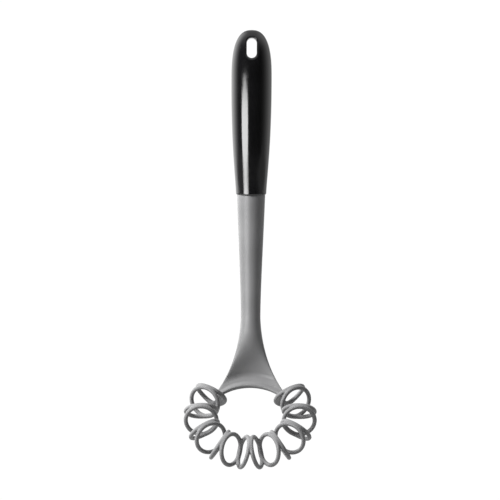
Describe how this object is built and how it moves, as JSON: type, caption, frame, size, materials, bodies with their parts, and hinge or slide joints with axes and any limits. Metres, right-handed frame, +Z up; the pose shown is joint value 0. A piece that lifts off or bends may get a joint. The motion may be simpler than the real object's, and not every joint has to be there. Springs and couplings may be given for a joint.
{
  "type": "potato masher",
  "caption": "Hand potato masher: black moulded grip with a hanging slot on a grey stem that flares into a neck carrying an angled ring of round loops.",
  "frame": {"origin": "middle of the hanging slot in the handle", "axes": "+Z up the handle along the tool's length, +Y from the ring's side to the back along the hanging slot, +X to the right seen from the ring's side; the loop ring reaches down and towards -Y"},
  "size_m": [0.087, 0.0641, 0.2872],
  "materials": {
    "black_grip": "glossy black moulded plastic",
    "grey_nylon": "satin grey moulded nylon"
  },
  "bodies": {
    "root": {"handle": "black_grip", "stem": "grey_nylon", "neck": "grey_nylon", "loop_01": "grey_nylon", "loop_02": "grey_nylon", "loop_03": "grey_nylon", "loop_04": "grey_nylon", "loop_05": "grey_nylon", "loop_06": "grey_nylon", "loop_07": "grey_nylon", "loop_08": "grey_nylon", "loop_09": "grey_nylon", "loop_10": "grey_nylon", "loop_11": "grey_nylon", "loop_12": "grey_nylon", "loop_13": "grey_nylon", "loop_14": "grey_nylon", "loop_15": "grey_nylon", "loop_16": "grey_nylon", "loop_17": "grey_nylon", "loop_18": "grey_nylon"}
  },
  "joints": []
}
